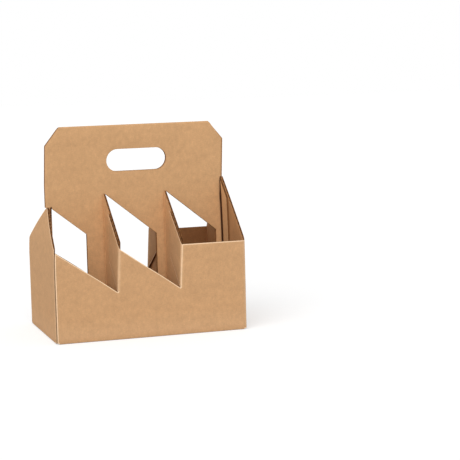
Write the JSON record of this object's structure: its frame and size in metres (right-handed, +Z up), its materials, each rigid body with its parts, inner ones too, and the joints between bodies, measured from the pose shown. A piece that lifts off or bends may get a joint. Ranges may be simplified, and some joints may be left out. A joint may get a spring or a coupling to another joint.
{
  "type": "cardboard bottle carrier",
  "caption": "Folded corrugated carrier with a tall middle handle, hand hole, gabled ends and saw-toothed front, divided into cells for bottles.",
  "frame": {"origin": "middle of the base, on the ground", "axes": "+X along the length, from the low gable to the high one; +Y to the back; +Z up"},
  "size_m": [0.25, 0.162, 0.266],
  "materials": {
    "outer_board": "unbleached kraft board, matte",
    "insert_board": "unbleached kraft board, matte"
  },
  "bodies": {
    "root": {"outer_body": "outer_board", "handle_insert": "insert_board"}
  },
  "joints": []
}
